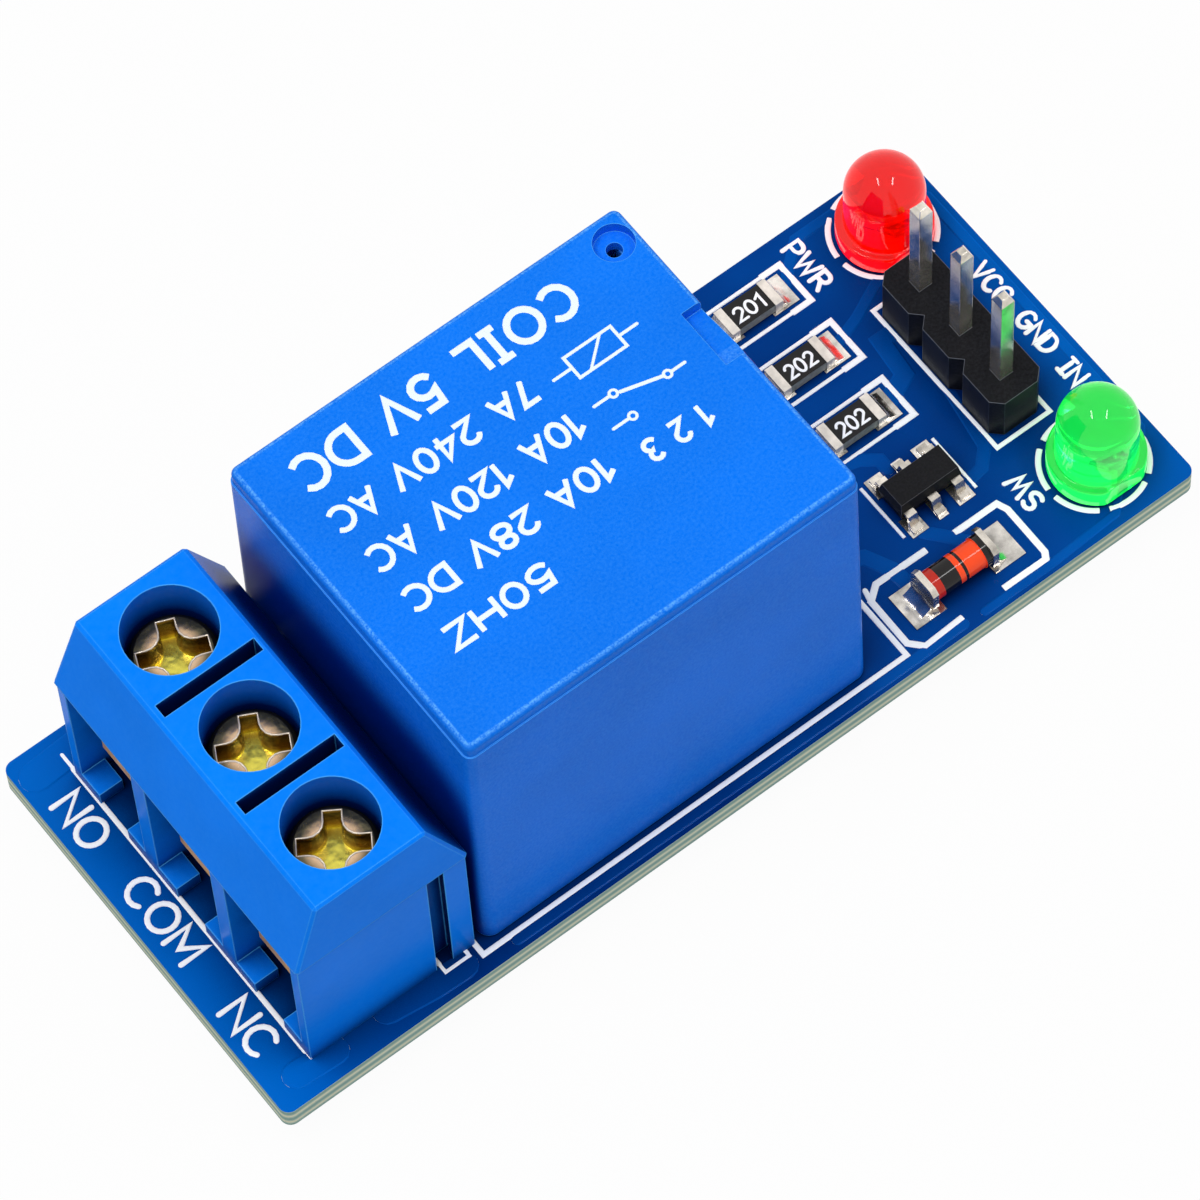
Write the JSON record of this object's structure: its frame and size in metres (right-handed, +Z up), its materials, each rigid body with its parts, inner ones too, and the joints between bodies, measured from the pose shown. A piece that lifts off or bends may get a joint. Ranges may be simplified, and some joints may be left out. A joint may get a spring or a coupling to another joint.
{
  "type": "relay module board",
  "caption": "Small blue circuit board with a cube relay, a screw terminal block, a pin header, two indicator lamps and the parts of the coil driver.",
  "frame": {"origin": "under the middle of the board, at the tips of the longest solder tails, on which it stands", "axes": "+X along the board from the terminal block to the pin header, +Y across the board, +Z up"},
  "size_m": [0.0446, 0.0186, 0.0192],
  "materials": {
    "solder_mask": "glossy blue lacquer over glass-fibre board",
    "terminal_plastic": "smooth moulded blue",
    "relay_plastic": "satin fine-grained moulded blue",
    "relay_base_plastic": "moulded black",
    "soft_iron": "plated iron",
    "bobbin_plastic": "moulded white",
    "copper_wire": "lacquered copper wire",
    "tinned_metal": "tinned, satin",
    "spring_bronze": "rolled",
    "contact_brass": "rolled brass",
    "spring_steel": "rolled",
    "header_plastic": "moulded black",
    "pin_metal": "bright tin plate",
    "red_epoxy": "clear-dyed red epoxy, glossy",
    "green_epoxy": "clear-dyed green epoxy, glossy",
    "moulded_black": "moulded black",
    "diode_glass": "tinted glass with a black band",
    "solder": "bright solder",
    "screw_metal": "yellow zinc plate",
    "cage_steel": "zinc plated",
    "resistor_chip": "black glaze over grey ceramic"
  },
  "bodies": {
    "module": {"circuit_board": "solder_mask", "closed_contact": "contact_brass", "coil_bobbin": "bobbin_plastic", "coil_core": "soft_iron", "coil_pin_1": "tinned_metal", "coil_pin_2": "tinned_metal", "coil_winding": "copper_wire", "diode_caps": "tinned_metal", "diode_glass": "diode_glass", "header_block": "header_plastic", "header_pin_1": "pin_metal", "header_pin_2": "pin_metal", "header_pin_3": "pin_metal", "hinge_spring": "spring_steel", "open_contact": "contact_brass", "power_lamp_anode": "tinned_metal", "power_lamp_cathode": "tinned_metal", "power_lamp_lens": "red_epoxy", "relay_base": "relay_base_plastic", "relay_cover": "relay_plastic", "resistor_caps_1": "tinned_metal", "resistor_caps_2": "tinned_metal", "resistor_caps_3": "tinned_metal", "resistor_chip_1": "resistor_chip", "resistor_chip_2": "resistor_chip", "resistor_chip_3": "resistor_chip", "solder_cones": "solder", "solder_pads": "solder", "switch_lamp_anode": "tinned_metal", "switch_lamp_cathode": "tinned_metal", "switch_lamp_lens": "green_epoxy", "terminal_contact_1": "contact_brass", "terminal_contact_2": "contact_brass", "terminal_contact_3": "contact_brass", "terminal_housing": "terminal_plastic", "transistor_body": "moulded_black", "transistor_leads": "tinned_metal", "yoke": "soft_iron"},
    "screw_1": {"terminal_screw_1": "screw_metal"},
    "cage_1": {"clamp_cage_1": "cage_steel"},
    "screw_2": {"terminal_screw_2": "screw_metal"},
    "cage_2": {"clamp_cage_2": "cage_steel"},
    "screw_3": {"terminal_screw_3": "screw_metal"},
    "cage_3": {"clamp_cage_3": "cage_steel"},
    "armature_flap": {"armature": "soft_iron", "contact_blade": "spring_bronze"}
  },
  "joints": [
    {"name": "cage_1_slide", "type": "slide", "parent": "module", "child": "cage_1", "axis": [0, 0, -1], "range_m": [0, 0.0018]},
    {"name": "screw_1_turn", "type": "hinge", "parent": "module", "child": "screw_1", "pos_m": [-0.0163, 0.00475, 0.012], "axis": [0, 0, 1], "range_deg": [0, 1440.01]},
    {"name": "cage_2_slide", "type": "slide", "parent": "module", "child": "cage_2", "axis": [0, 0, -1], "range_m": [0, 0.0018]},
    {"name": "screw_2_turn", "type": "hinge", "parent": "module", "child": "screw_2", "pos_m": [-0.0163, -0.00033, 0.012], "axis": [0, 0, 1], "range_deg": [0, 1440.01]},
    {"name": "cage_3_slide", "type": "slide", "parent": "module", "child": "cage_3", "axis": [0, 0, -1], "range_m": [0, 0.0018]},
    {"name": "screw_3_turn", "type": "hinge", "parent": "module", "child": "screw_3", "pos_m": [-0.0163, -0.00541, 0.012], "axis": [0, 0, 1], "range_deg": [0, 1440.01]},
    {"name": "armature_hinge", "type": "hinge", "parent": "module", "child": "armature_flap", "pos_m": [0.004, -0.0006, 0.01476], "axis": [0, -1, 0], "range_deg": [0, 2.9], "stiffness_Nm_per_rad": 0.02, "springref_deg": -2.86}
  ],
  "couplings": [
    {"joint": "screw_1_turn", "follows": "cage_1_slide", "rad_per_m": 13963},
    {"joint": "screw_2_turn", "follows": "cage_2_slide", "rad_per_m": 13963},
    {"joint": "screw_3_turn", "follows": "cage_3_slide", "rad_per_m": 13963}
  ]
}
